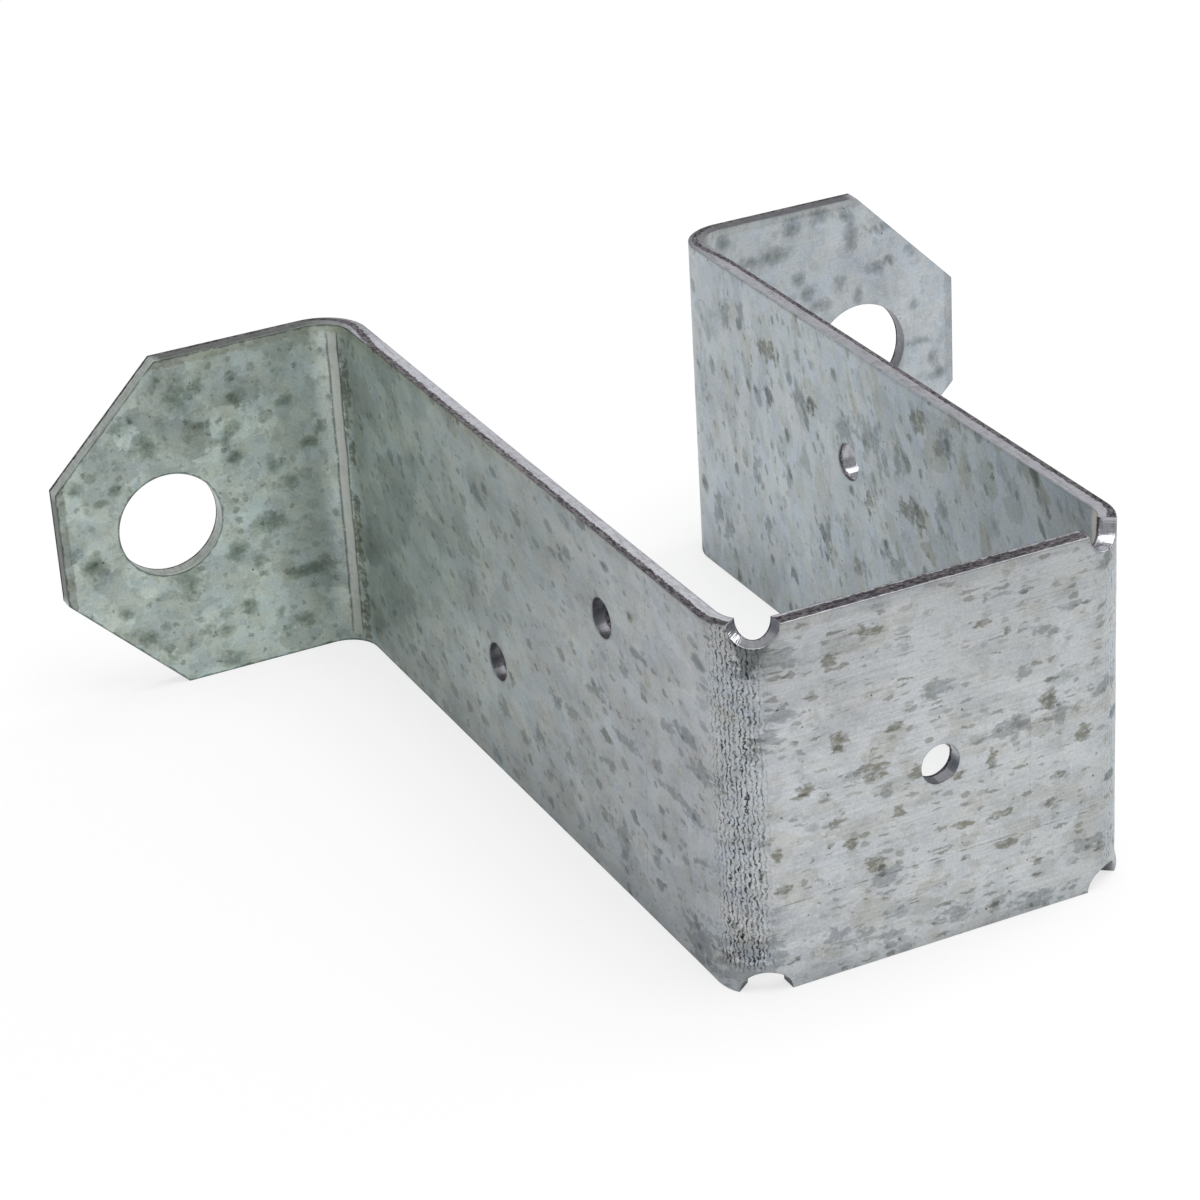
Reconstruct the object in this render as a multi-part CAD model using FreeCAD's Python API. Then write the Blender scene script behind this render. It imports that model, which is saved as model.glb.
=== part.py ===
import FreeCAD, Part
import math
import os

# Deck post tie: one strip of galvanised sheet steel, punched flat and then folded four times.
# A post stands between the two legs, with its edge against the web. The flanges bolt to a rail.
# Millimetres. X runs across the tie, +Y from the web towards the flanges, +Z up.
# The origin is at the middle of the base, half way between the web's outer and the flanges' back face.

# Sheet and overall sizes
sheet = 1.9                     # thickness of the sheet
strip_height = 38.1             # width of the strip, which stands on its edge
pocket_width = 39.7             # clear width between the legs, for the post
pocket_depth = 88.9             # web's inner face to the plane of the flanges' back faces
flange_reach = 33.4             # leg's outer face to the flange's free end

# Folds
front_fold_inside = 3.6         # inside radius of the two folds between the web and the legs
rear_fold_inside = 3.6          # inside radius of the two folds between the legs and the flanges
neutral_share = 0.5             # place of the unstretched layer in the sheet, from the inside face

# Relief notches, punched on both edges of the flat strip where it folds at the web
notch_radius = 2.1              # radius of each half-round notch in the flat strip
notch_points = 9                # points that the notch's curve is worked out at

# Flange ends and bolt holes
corner_cut = 12.5               # each outer corner of a flange is cut off at 45 degrees, this far in
bolt_hole_radius = 5.85         # hole for a 3/8 in bolt
bolt_hole_reach = 21.0          # leg's outer face to the middle of the bolt hole

# Nail holes: one in the middle of the web, and two in each leg, which are given here on the left leg.
# The right leg's are the same, turned half round the Y axis.
nail_hole_radius = 2.05
near_nail_depth = 25.8          # web's outer face to the hole nearer the web
near_nail_rise = 10.05          # how far that hole is above the strip's middle
far_nail_depth = 51.5           # web's outer face to the hole farther from the web
far_nail_drop = 6.0             # how far that hole is below the strip's middle

# Sheared edges: the punch draws the face that it enters down into a small round at each cut
edge_round = 0.3                # round along the strip's outline, the notches and the holes' rims
past = 5.0                      # how far a punch runs beyond the sheet

# Sizes that follow
outer_width = pocket_width + 2 * sheet
overall_depth = pocket_depth + sheet
web_front = -overall_depth / 2
flange_back = overall_depth / 2
leg_out = outer_width / 2
flange_end = leg_out + flange_reach
mid_height = strip_height / 2
front_fold_outside = front_fold_inside + sheet
rear_fold_outside = rear_fold_inside + sheet


def point(x, y, z=0.0):
    return FreeCAD.Vector(x, y, z)


def arc_point(centre, radius, degrees):
    """The point of a circle about a vertical axis at an angle counted from +X towards +Y."""
    turn = math.radians(degrees)
    return centre + point(radius * math.cos(turn), radius * math.sin(turn))


def front_fold_axis(side):
    """Foot of the axis that the web and one leg are folded about; side is -1 left, 1 right."""
    return point(side * (leg_out - front_fold_outside), web_front + front_fold_outside)


def rear_fold_axis(side):
    """Foot of the axis that one leg and its flange are folded about, on the leg's outer side."""
    return point(side * (leg_out + rear_fold_inside), flange_back - rear_fold_outside)


def line(start, end):
    return Part.LineSegment(start, end).toShape()


def fold_arc(axis, radius, from_degrees, to_degrees):
    turns = (from_degrees, (from_degrees + to_degrees) / 2, to_degrees)
    return Part.Arc(*[arc_point(axis, radius, turn) for turn in turns]).toShape()


def face_line(side, front_radius, rear_radius, web_y, flange_y):
    """One face of half the strip, seen from above: web, fold, leg, fold and flange, joined tangent."""
    front = front_fold_axis(side)
    rear = rear_fold_axis(side)
    web_turn = 270
    leg_turn = 270 + side * 90
    flange_turn = 90
    back_turn = 90 + side * 90
    web_end = arc_point(front, front_radius, web_turn)
    leg_start = arc_point(front, front_radius, leg_turn)
    leg_end = arc_point(rear, rear_radius, back_turn)
    flange_start = arc_point(rear, rear_radius, flange_turn)
    return [
        line(point(0, web_y), web_end),
        fold_arc(front, front_radius, web_turn, leg_turn),
        line(leg_start, leg_end),
        fold_arc(rear, rear_radius, back_turn, flange_turn),
        line(flange_start, point(side * flange_end, flange_y)),
    ]


def folded_strip():
    """The strip after folding, with square edges and no holes yet."""
    edges = []
    flange_front = flange_back - sheet
    for side in (-1, 1):
        edges += face_line(side, front_fold_outside, rear_fold_inside, web_front, flange_front)
        edges += face_line(side, front_fold_inside, rear_fold_outside, web_front + sheet, flange_back)
        edges.append(line(point(side * flange_end, flange_front), point(side * flange_end, flange_back)))
    outline = Part.Wire(Part.__sortEdges__(edges))
    return Part.Face(outline).extrude(point(0, 0, strip_height))


def corner_cutter(side, top):
    """A three-sided bar that takes one outer corner off a flange at 45 degrees."""
    edge = strip_height if top else 0.0
    away = 1 if top else -1
    end = side * flange_end
    front = flange_back - sheet - past
    corners = [
        point(end - side * corner_cut - side * past, front, edge + away * past),
        point(end + side * past, front, edge + away * past),
        point(end + side * past, front, edge - away * (corner_cut + past)),
    ]
    bar = Part.Face(Part.makePolygon(corners + corners[:1]))
    return bar.extrude(point(0, sheet + 2 * past, 0))


def front_punch(x, face_y, radius):
    """A round punch through a sheet that faces the front, at the strip's middle height."""
    start = point(x, face_y - past, mid_height)
    return Part.makeCylinder(radius, sheet + 2 * past, start, point(0, 1, 0))


def leg_punch(side, depth, rise):
    """A nail hole's punch through one leg, from its outside."""
    start = point(side * (leg_out + past), web_front + depth, mid_height + rise)
    return Part.makeCylinder(nail_hole_radius, sheet + 2 * past, start, point(-side, 0, 0))


def round_holes():
    """All the round holes: two for bolts, one nail hole in the web and two in each leg."""
    punches = [front_punch(0, web_front, nail_hole_radius)]
    for side in (-1, 1):
        bolt_x = side * (leg_out + bolt_hole_reach)
        punches.append(front_punch(bolt_x, flange_back - sheet, bolt_hole_radius))
        punches.append(leg_punch(side, near_nail_depth, -side * near_nail_rise))
        punches.append(leg_punch(side, far_nail_depth, side * far_nail_drop))
    return punches


def notch_curve(side, top, radius):
    """The notch's rim where it meets the cylinder of this radius about the front fold's axis.

    In the flat strip the notch is half a circle with its middle on the edge. The fold keeps lengths in the
    sheet's neutral layer, so the distance along the flat becomes an angle about the fold's axis, and the
    height stays. The notch starts where the web's flat ends.
    """
    axis = front_fold_axis(side)
    neutral = front_fold_inside + neutral_share * sheet
    points = []
    for step in range(notch_points):
        turn = math.pi * step / (notch_points - 1)
        along = notch_radius * (1 - math.cos(turn))
        deep = notch_radius * math.sin(turn)
        around = 270 + side * math.degrees(along / neutral)
        height = strip_height - deep if top else deep
        points.append(arc_point(axis, radius, around) + point(0, 0, height))
    curve = Part.BSplineCurve()
    curve.interpolate(points)
    return curve.toShape()


def notch_cutter(side, top):
    """A cutter whose wall runs straight through the folded sheet, towards the fold's axis."""
    inside = notch_curve(side, top, front_fold_inside / 2)
    outside = notch_curve(side, top, front_fold_outside + past)
    wall = Part.makeRuledSurface(inside, outside)
    away = 1 if top else -1
    return wall.extrude(point(0, 0, away * (notch_radius + past)))


def near_punched_face(here, close=0.01):
    """True where a point lies on the face that the punch entered: the web's and legs' outside."""
    across = abs(here.x)
    front = front_fold_axis(1)
    rear = rear_fold_axis(1)
    if across <= front.x:
        return abs(here.y - web_front) < close
    if here.y <= front.y:
        return abs(math.hypot(across - front.x, here.y - front.y) - front_fold_outside) < close
    if here.y <= rear.y:
        return abs(across - leg_out) < close
    if across <= rear.x:
        return abs(math.hypot(across - rear.x, here.y - rear.y) - rear_fold_inside) < close
    return abs(here.y - (flange_back - sheet)) < close


def is_sheared_edge(edge):
    """True for an edge of the punched face that was cut: the outline, the notches and the holes' rims."""
    low, high = edge.ParameterRange
    places = [edge.valueAt(low + (high - low) * share) for share in (0.0, 0.2, 0.5, 0.8, 1.0)]
    if not all(near_punched_face(place) for place in places):
        return False
    rise = abs(places[-1].z - places[0].z)
    is_upright = rise > edge.Length - 1e-6
    return not is_upright or abs(places[0].x) > flange_end - 1e-3


def post_tie():
    """The whole tie: fold the strip, cut the flange corners, punch the holes and notches, ease the edges."""
    cutters = round_holes()
    for side in (-1, 1):
        for top in (False, True):
            cutters.append(corner_cutter(side, top))
            cutters.append(notch_cutter(side, top))
    tie = folded_strip().cut(cutters).removeSplitter().Solids[0]
    sheared = [edge for edge in tie.Edges if is_sheared_edge(edge)]
    return tie.makeFillet(edge_round, sheared).Solids[0]


os.makedirs("parts", exist_ok=True)
tie = post_tie()
print("valid", tie.isValid(), "volume", round(tie.Volume, 2), "faces", len(tie.Faces), tie.BoundBox)
tie.exportStep("parts/post_tie.step")
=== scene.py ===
import math
from types import SimpleNamespace

import bpy
import numpy as np
from mathutils import Matrix, Vector


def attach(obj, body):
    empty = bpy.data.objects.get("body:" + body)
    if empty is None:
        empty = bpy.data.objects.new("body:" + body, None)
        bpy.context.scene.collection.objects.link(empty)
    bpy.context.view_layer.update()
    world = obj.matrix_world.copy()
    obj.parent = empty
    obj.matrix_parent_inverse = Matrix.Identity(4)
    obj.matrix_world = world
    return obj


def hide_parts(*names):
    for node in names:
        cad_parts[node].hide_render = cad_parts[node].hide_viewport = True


# Deck post tie: one strip of galvanised sheet steel, punched flat and then folded four times.
# The whole tie is one closed piece. It is worked out in the flat strip and then folded:
#   u  runs along the strip's unstretched layer, from the web's middle to the right
#   v  runs up from the strip's lower edge
#   w  runs through the sheet, 0 on the face that the punch entered and 1 on the other face
# These three and all sizes below are in millimetres. They become metres when the mesh is made.

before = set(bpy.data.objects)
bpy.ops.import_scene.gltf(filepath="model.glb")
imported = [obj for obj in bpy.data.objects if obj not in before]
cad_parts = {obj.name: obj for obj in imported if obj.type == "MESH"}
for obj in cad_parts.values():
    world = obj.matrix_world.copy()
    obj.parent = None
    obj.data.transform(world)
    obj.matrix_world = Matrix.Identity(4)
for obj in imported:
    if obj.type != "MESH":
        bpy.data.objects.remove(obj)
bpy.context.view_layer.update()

METRE = 0.001

# Sheet and overall sizes
sheet = 1.9
strip_height = 38.1
pocket_width = 39.7
pocket_depth = 88.9
flange_reach = 33.4
fold_inside = 3.6

# Notches, flange corners and holes
notch_radius = 2.1
corner_cut = 12.5
bolt_hole_radius = 5.85
bolt_hole_reach = 21.0
nail_hole_radius = 2.05
near_nail_depth = 25.8
near_nail_rise = 10.05
far_nail_depth = 51.5
far_nail_drop = 6.0

# Sheared edges
roll_width = 0.14  # how far from a cut the punched face starts to roll down
web_roll = 0.06  # how far down it is at the web's cuts
flange_roll = 0.02  # how far down it is at the legs' and flanges' cuts
burr_width = 0.10  # small break of the other face's edge
burr_depth = 0.06
inner_roll_width = 0.42  # the legs' long edges were sheared from the other face, which rolls there
inner_roll = 0.28

# Relief of the faces and of the torn bands in the cuts' walls
crazed_height = 0.075
pressed_depth = 0.07  # the flat line in the rear folds, and the lips on both sides of it
pressed_half = 0.67
pressed_lip = 0.025
torn_least = 0.02
torn_more = 0.07
torn_margin = 0.08  # the torn relief stays this share of the sheet away from both faces

# How far the rings of finer mesh reach past the rims of nail holes, notches and bolt holes
nail_ring = 1.6
notch_ring_reach = 1.7
bolt_ring = 2.8

# Corners that the folding bent outwards, beside the lower notches
left_flare = 0.4
right_flare = 0.5
left_flare_reach = 3.2
right_flare_reach = 2.9

# Sizes that follow
fold_outside = fold_inside + sheet
fold_middle = fold_inside + sheet / 2
fold_length = fold_middle * math.pi / 2
leg_out = pocket_width / 2 + sheet
web_front = -(pocket_depth + sheet) / 2
flange_back = -web_front
front_axis_x = leg_out - fold_outside
front_axis_y = web_front + fold_outside
rear_axis_x = leg_out + fold_inside
rear_axis_y = flange_back - fold_outside

# Places along the strip where flats and folds meet
web_end = front_axis_x
leg_start = web_end + fold_length
leg_end = leg_start + rear_axis_y - front_axis_y
flange_start = leg_end + fold_length
strip_end = flange_start + leg_out + flange_reach - rear_axis_x
notch_middle = web_end + notch_radius
bolt_place = flange_start + leg_out + bolt_hole_reach - rear_axis_x
rear_fold_middle = (leg_end + flange_start) / 2
ring_start = bolt_place - bolt_hole_radius - bolt_ring
middle = strip_height / 2
bolt_holes = [(-bolt_place, middle), (bolt_place, middle)]

# Middles of the nail holes in the flat strip: one in the web and two in each leg
no_depth = leg_start + web_front - front_axis_y  # depths in the legs count from here, along the strip
right_nails = [(no_depth + near_nail_depth, middle - near_nail_rise),
               (no_depth + far_nail_depth, middle + far_nail_drop)]
left_nails = [(-place, strip_height - height) for place, height in right_nails]
nail_holes = [(0.0, middle), *left_nails, *right_nails]


def to_edge(v):
    """Distance to the strip's lower or upper edge, whichever is nearer."""
    return np.minimum(v, strip_height - v)


def to_rims(u, v, holes, radius):
    """Distance to the nearest rim of some holes that have one radius."""
    return np.min([np.hypot(u - hole_u, v - hole_v) for hole_u, hole_v in holes], axis=0) - radius


def to_notch(u, v):
    """Distance to the rim of the nearest half-round notch."""
    return np.hypot(np.abs(u) - notch_middle, to_edge(v)) - notch_radius


def to_slope(u, v):
    """Distance to the nearest 45 degree corner cut."""
    return (strip_end - corner_cut - np.abs(u) + to_edge(v)) / math.sqrt(2)


def room_to_cut(u, v):
    """Distance from a point of the flat strip to the nearest cut, and below 0 outside the metal."""
    return np.min([
        to_edge(v), strip_end - np.abs(u), to_slope(u, v), to_notch(u, v),
        to_rims(u, v, nail_holes, nail_hole_radius), to_rims(u, v, bolt_holes, bolt_hole_radius),
    ], axis=0)


def folded(u, v, depth):
    """The place in space of a point of the strip, depth millimetres under the punched face.

    The web, legs and flanges are flat. In a fold the distance along the unstretched layer, divided by that
    layer's radius, is the angle turned. The front folds have the punched face outside, so its radius is
    the outer one less the depth. The rear folds have it inside, so its radius is the inner one plus it.
    """
    across = np.abs(u)
    front_turn = np.clip((across - web_end) / fold_middle, 0, math.pi / 2)
    rear_turn = np.clip((across - leg_end) / fold_middle, 0, math.pi / 2)
    front_reach, rear_reach = fold_outside - depth, fold_inside + depth
    x = np.minimum(across, web_end) + front_reach * np.sin(front_turn)
    x = x + rear_reach * (1 - np.cos(rear_turn)) + np.maximum(across - flange_start, 0)
    y = web_front + depth + front_reach * (1 - np.cos(front_turn))
    y = y + np.clip(across - leg_start, 0, leg_end - leg_start) + rear_reach * np.sin(rear_turn)
    return np.stack([np.copysign(x, u), y, v], axis=-1)


# Noise for the shape of cracks and torn edges

def lattice(column, row, seed):
    """A number from 0 to 1 for each lattice point: the fractional part of a large multiple of a sine."""
    wave = np.sin(column * 127.1 + row * 311.7 + seed * 74.7) * 43758.5453
    return wave - np.floor(wave)


def soft_noise(x, y, seed):
    """Noise from 0 to 1: lattice numbers blended between the four corners with smooth steps."""
    column, row = np.floor(x), np.floor(y)
    s, t = x - column, y - row
    s, t = s * s * (3 - 2 * s), t * t * (3 - 2 * t)
    low = lattice(column, row, seed) * (1 - s) + lattice(column + 1, row, seed) * s
    high = lattice(column, row + 1, seed) * (1 - s) + lattice(column + 1, row + 1, seed) * s
    return low * (1 - t) + high * t


def ease(x, start, end):
    """0 before start, 1 after end and a smooth step between them; start may be the larger one."""
    t = np.clip((x - start) / (end - start), 0, 1)
    return t * t * (3 - 2 * t)


# Lines of the flat grid

near_cut = np.array([0.0, 0.03, 0.11, 0.23, 0.42, 0.72])


def even(start, end, spacing):
    """Evenly spaced lines from start to end, as near to the spacing as fits a whole number of steps."""
    return np.linspace(start, end, max(1, round((end - start) / spacing)) + 1)


def height_lines():
    """Lines across the strip: close together beside both edges, for the rolled rim, and even between."""
    between = even(near_cut[-1], strip_height - near_cut[-1], 0.5)
    return np.concatenate([near_cut, between[1:-1], strip_height - near_cut[::-1]])


def length_lines():
    """Lines along the strip up to the flanges' rings, closer in the folds, and the same on both sides."""
    half = [
        even(0, web_end, 0.45),
        even(web_end, leg_start, 0.15),
        even(leg_start, leg_end, 1.15),
        even(leg_end, rear_fold_middle - 1.1, 0.45),
        even(rear_fold_middle - 1.1, rear_fold_middle + 1.1, 0.11),
        even(rear_fold_middle + 1.1, flange_start, 0.45),
        even(flange_start, ring_start, 0.75),
    ]
    right = np.unique(np.concatenate(half).round(9))
    return np.concatenate([-right[:0:-1], right])


def nearest(lines, place):
    return int(np.argmin(np.abs(lines - place)))


# Patches of the flat strip: a plain grid with windows in it, and rings that join a window to its hole

def ring_rows(reach, near_border, steps):
    """Distances from the rim, for rays of these lengths: close together at the rim, even after that.

    With near_border, they are close together again before the far end. One column for each ray.
    """
    reach = reach[None, :]
    first = np.repeat(near_cut[:, None], reach.shape[1], axis=1)
    last = reach - near_cut[::-1, None] if near_border else reach
    share = np.linspace(0, 1, steps + 2)[1:-1, None]
    return np.concatenate([first, first[-1:] + share * (last[:1] - first[-1:]), last])


def ring(centre, radius, border, closed, near_border=False, steps=4):
    """A patch between a round rim and a border around it: straight rays at the angles of its points."""
    offset = border - centre
    angle = np.arctan2(offset[:, 1], offset[:, 0])
    far = np.hypot(offset[:, 0], offset[:, 1])
    direction = np.stack([np.cos(angle), np.sin(angle)], axis=-1)
    distance = radius + ring_rows(far - radius, near_border, steps)
    points = centre + distance[:, :, None] * direction
    points[-1] = border
    rows, rays = distance.shape
    step = np.arange(rays if closed else rays - 1)
    row = np.arange(rows - 1)[:, None]
    here, beside = row * rays + step, row * rays + (step + 1) % rays
    quads = np.stack([here, here + rays, beside + rays, beside], axis=-1).reshape(-1, 4)
    return points.reshape(-1, 2), quads


def window_loop(us, vs):
    """The border of a window, once round against the clock from its lower left corner."""
    low = [(u, vs[0]) for u in us[:-1]]
    right = [(us[-1], v) for v in vs[:-1]]
    high = [(u, vs[-1]) for u in us[:0:-1]]
    left = [(us[0], v) for v in vs[:0:-1]]
    return low, right, high, left


def window(us, vs, centre, reach):
    """Index ranges of the grid's lines nearest to the sides of a square round a place."""
    u, v = centre
    return nearest(us, u - reach), nearest(us, u + reach), nearest(vs, v - reach), nearest(vs, v + reach)


def notch_ring(us, vs, limits, centre):
    """The half ring round a notch: along its window's three sides that are inside the strip."""
    a, b, c, d = limits
    low, right, high, left = window_loop(us[a:b + 1], vs[c:d + 1])
    if centre[1] > middle:
        border = left + low + right + [(us[b], vs[d])]
    else:
        border = right + high + left + [(us[a], vs[c])]
    return ring(np.array(centre), notch_radius, np.array(border), closed=False)


def flange_outline(vs):
    """The right flange's cut outline and the end of the plain grid, once round against the clock."""
    corner = strip_end - corner_cut
    flat, cut, rise = even(ring_start, corner, 0.9), even(corner, strip_end, 0.7), even(0, corner_cut, 0.7)
    end = np.linspace(corner_cut, strip_height - corner_cut, 15)
    runs = [
        (flat, 0 * flat), (cut, rise), (0 * end + strip_end, end), (cut[::-1], strip_height - rise[::-1]),
        (flat[::-1], 0 * flat + strip_height), (0 * vs + ring_start, vs[::-1]),
    ]
    return np.concatenate([np.stack(run, -1)[:-1] for run in runs])


def flange_ring(vs, side):
    """The patch from a bolt hole's rim out to the flange's cut outline and to the plain grid."""
    outline = flange_outline(vs)
    if side < 0:
        outline = outline[::-1] * (-1, 1)
    centre = np.array([side * bolt_place, middle])
    return ring(centre, bolt_hole_radius, outline, closed=True, near_border=True, steps=10)


def flat_patches():
    """All patches of the flat strip, as pairs of points and quads that run against the clock."""
    us, vs = length_lines(), height_lines()
    kept = np.ones((len(us) - 1, len(vs) - 1), bool)
    patches = []
    for hole in nail_holes:
        a, b, c, d = window(us, vs, hole, nail_hole_radius + nail_ring)
        kept[a:b, c:d] = False
        border = np.array(sum(window_loop(us[a:b + 1], vs[c:d + 1]), []))
        patches.append(ring(np.array(hole), nail_hole_radius, border, closed=True))
    for side in (-1, 1):
        for edge in (0.0, strip_height):
            notch = (side * notch_middle, edge)
            a, b, c, d = window(us, vs, notch, notch_radius + notch_ring_reach)
            kept[a:b, c:d] = False
            patches.append(notch_ring(us, vs, (a, b, c, d), notch))
        patches.append(flange_ring(vs, side))
    i, j = np.nonzero(kept)
    corner = i * len(vs) + j
    quads = np.stack([corner, corner + len(vs), corner + len(vs) + 1, corner + 1], axis=-1)
    points = np.stack(np.meshgrid(us, vs, indexing="ij"), axis=-1).reshape(-1, 2)
    return [(points, quads)] + patches


def welded(patches):
    """One flat mesh from the patches: points nearer than a hundredth of a micrometre become one."""
    points = np.concatenate([p for p, _ in patches])
    starts = np.cumsum([0] + [len(p) for p, _ in patches[:-1]])
    quads = np.concatenate([q + start for (_, q), start in zip(patches, starts)])
    _, first, same = np.unique(np.round(points, 5), axis=0, return_index=True, return_inverse=True)
    quads = same.reshape(-1)[quads]
    used, quads = np.unique(quads, return_inverse=True)
    return points[first][used], quads.reshape(-1, 4)


def cut_edges(quads, count):
    """The edges that only one quad has, each in that quad's direction, with the metal on its left."""
    start, end = quads.reshape(-1), np.roll(quads, -1, axis=1).reshape(-1)
    alone = ~np.isin(start * count + end, end * count + start)
    return start[alone], end[alone]


# Shape of the sheet's surfaces

def along_strip(u, web, front, leg, rear, flange):
    """A value that follows the distance along the strip, given for both halves alike: in the middle of
    the web, at the front fold, on the leg, at the rear fold and at the flange's end."""
    places = [0, (web_end + leg_start) / 2, (leg_start + leg_end) / 2, rear_fold_middle, strip_end]
    return np.interp(np.abs(u), places, [web, front, leg, rear, flange])


def by_side(u, places, left, right):
    """A value that follows the distance along the strip, from one list for each half."""
    return np.where(u < 0, np.interp(-u, places, left), np.interp(u, places, right))


def rolled(room, width, depth):
    """How far a face is drawn down beside a cut: a quarter of an ellipse of this width and depth."""
    t = np.clip(1 - room / width, 0, 1)
    return depth * (1 - np.sqrt(1 - t * t))


def crazed(u, v):
    """Relief of the crazed zinc outside the front folds: wavy ridges that run up the fold."""
    along = np.abs(u) - web_end
    inside = ease(along, 1.2, 2.8) * ease(along, fold_length - 0.3, fold_length - 2.0) * ease(v, 2.2, 3.6)
    wander = 0.5 * soft_noise(u * 0.5, v * 0.8, 3) + 0.25 * soft_noise(u * 1.1, v * 1.9, 4)
    ridges = soft_noise((u + wander) * 2.6, v * 0.55, 5) + 0.6 * soft_noise((u - wander) * 4.2, v * 0.9, 6)
    return inside * (ridges / 1.6 - 0.5)


def flared(u, v):
    """How far the fold's lower end stands out beside a notch: a smooth bump that falls to 0 over its reach.

    On the left the notch's own corner stands out most, and on the right the place where the leg begins.
    """
    left_away = np.hypot(u + web_end + 2 * notch_radius, v)
    right_away = np.hypot(u - leg_start + 0.6, v)
    left = left_flare * ease(left_away, left_flare_reach, 0)
    return left + right_flare * ease(right_away, right_flare_reach, 0)


def pressed_line(u, v):
    """Flat line that the folding tool's nose pressed into the rear folds: 1 in it, 0 beside it. Then its
    lips, in the same way."""
    wave = 0.07 * (soft_noise(v * 0.6, u * 0, 8) - 0.5)
    off = np.abs(np.abs(u) - rear_fold_middle + wave) - pressed_half
    ends = ease(to_edge(v), 0.8, 1.4)
    return ease(off, 0.05, -0.05) * ends, ease(off, -0.05, 0.05) * ease(off, 0.38, 0.13) * ends


def wall_marks(u, v):
    """Look of a cut's wall: torn from one share of the thickness to another, and how light its sheared part
    is, partly its own tone and partly painted light: painted shade on the flanges' walls and in the left
    leg's nail holes, which dims their reflections, and a painted sheen on the left leg's long edges.

    On the strip's outline the torn band covers most of the web's edge, lies towards the outer face on the
    legs and beside the back on the flanges. In holes, notches and corner cuts it is a thin band beside the
    other face, which the punch came out of.
    """
    places = [0, web_end, leg_start, leg_end - 6, flange_start, strip_end]
    low = np.interp(np.abs(u), places, [0.07, 0.07, -0.06, -0.06, 0.70, 0.78])
    high = by_side(u, places, [0.88, 0.80, 0.42, 0.38, 1.03, 1.03], [0.88, 0.80, 0.32, 0.30, 1.03, 1.03])
    # How light the sheared part is: painted shade on the flanges' walls, a painted sheen on the left leg's
    # edges
    bright = by_side(u, places, [0.85, 1.1, 1.27, 1.27, 0.34, 0.30], [0.85, 0.9, 0.92, 0.92, 0.34, 0.30])
    special = [
        (to_rims(u, v, nail_holes[:1] + right_nails, nail_hole_radius), 0.80, 0.97, 0.8),
        # The left leg's nail holes are painted darker: painted shade that dims their highlights
        (to_rims(u, v, left_nails, nail_hole_radius), 0.70, 0.99, 0.42),
        (to_notch(u, v), 0.88, 0.98, 0.8),
        (to_rims(u, v, bolt_holes, bolt_hole_radius), 0.88, 1.03, np.where(u < 0, 0.95, 0.5)),
        (to_slope(u, v), 0.80, 1.03, 1.0),
    ]
    for away, its_low, its_high, its_tone_and_painted_light in special:
        share = ease(away, 0.06, 0.02)
        low = low + (its_low - low) * share
        high = high + (its_high - high) * share
        bright = bright + (its_tone_and_painted_light - bright) * share
    return low, high, bright


def border_marks(u, v):
    """Stained border along the strip's upper edge and its ends: 1 at its inner rim, 0 at the edge, and how
    strong it is."""
    outline = np.minimum(strip_height - v, strip_end - np.abs(u))
    left = along_strip(u, 0.25, 0.4, 0.5, 0.9, 0.95)
    right = along_strip(u, 0.25, 0.4, 0.4, 0.7, 0.55)
    return outline / along_strip(u, 1.3, 0.9, 0.8, 1.0, 1.05), np.where(u < 0, left, right)


def squeezed(u, v):
    """Rubbed strip inside the front folds beside each upper notch, where the metal was squeezed: 1 in it."""
    along = np.abs(u) - web_end - 2 * notch_radius
    return ease(along, -0.3, 0.0) * ease(along, 2.8, 2.2) * ease(v, 32.5, 34.0)


def shaped(u, v, w):
    """Place in space of each point of the closed sheet: its depth is blended between the two faces.

    The punched face is drawn down at the cuts, crazed on the front folds and pressed in the rear ones. The
    other face has a small break at the cuts, and a round along the legs' long edges. A cut's wall stands
    straight, and its torn part is pulled in. Both faces follow the lower corners that are bent outwards.
    """
    room = np.maximum(room_to_cut(u, v), 0)
    groove, lip = pressed_line(u, v)
    roll = along_strip(u, web_roll, web_roll, flange_roll, flange_roll, flange_roll)
    relief = pressed_depth * groove - pressed_lip * lip - crazed_height * crazed(u, v)
    punched = rolled(room, roll_width, roll) + relief
    inner_rim = rolled(to_edge(v), inner_roll_width, along_strip(u, 0, 0, inner_roll, 0, 0))
    other = sheet - np.maximum(rolled(room, burr_width, burr_depth), inner_rim)
    depth = punched * (1 - w) + other * w - flared(u, v)
    low, high, _ = wall_marks(u, v)
    low, high = np.maximum(low, torn_margin), np.minimum(high, 1 - torn_margin)
    torn = ease(w, low - 0.05, low + 0.08) * ease(w, high + 0.05, high - 0.08)
    rough = torn * (torn_least + torn_more * soft_noise(u * 1.7 + v * 1.1, w * 5 + v, 11))
    step = 0.01
    lean_u = (room_to_cut(u + step, v) - room_to_cut(u - step, v)) / (2 * step)
    lean_v = (room_to_cut(u, v + step) - room_to_cut(u, v - step)) / (2 * step)
    return folded(u + rough * lean_u, v + rough * lean_v, depth)


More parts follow.
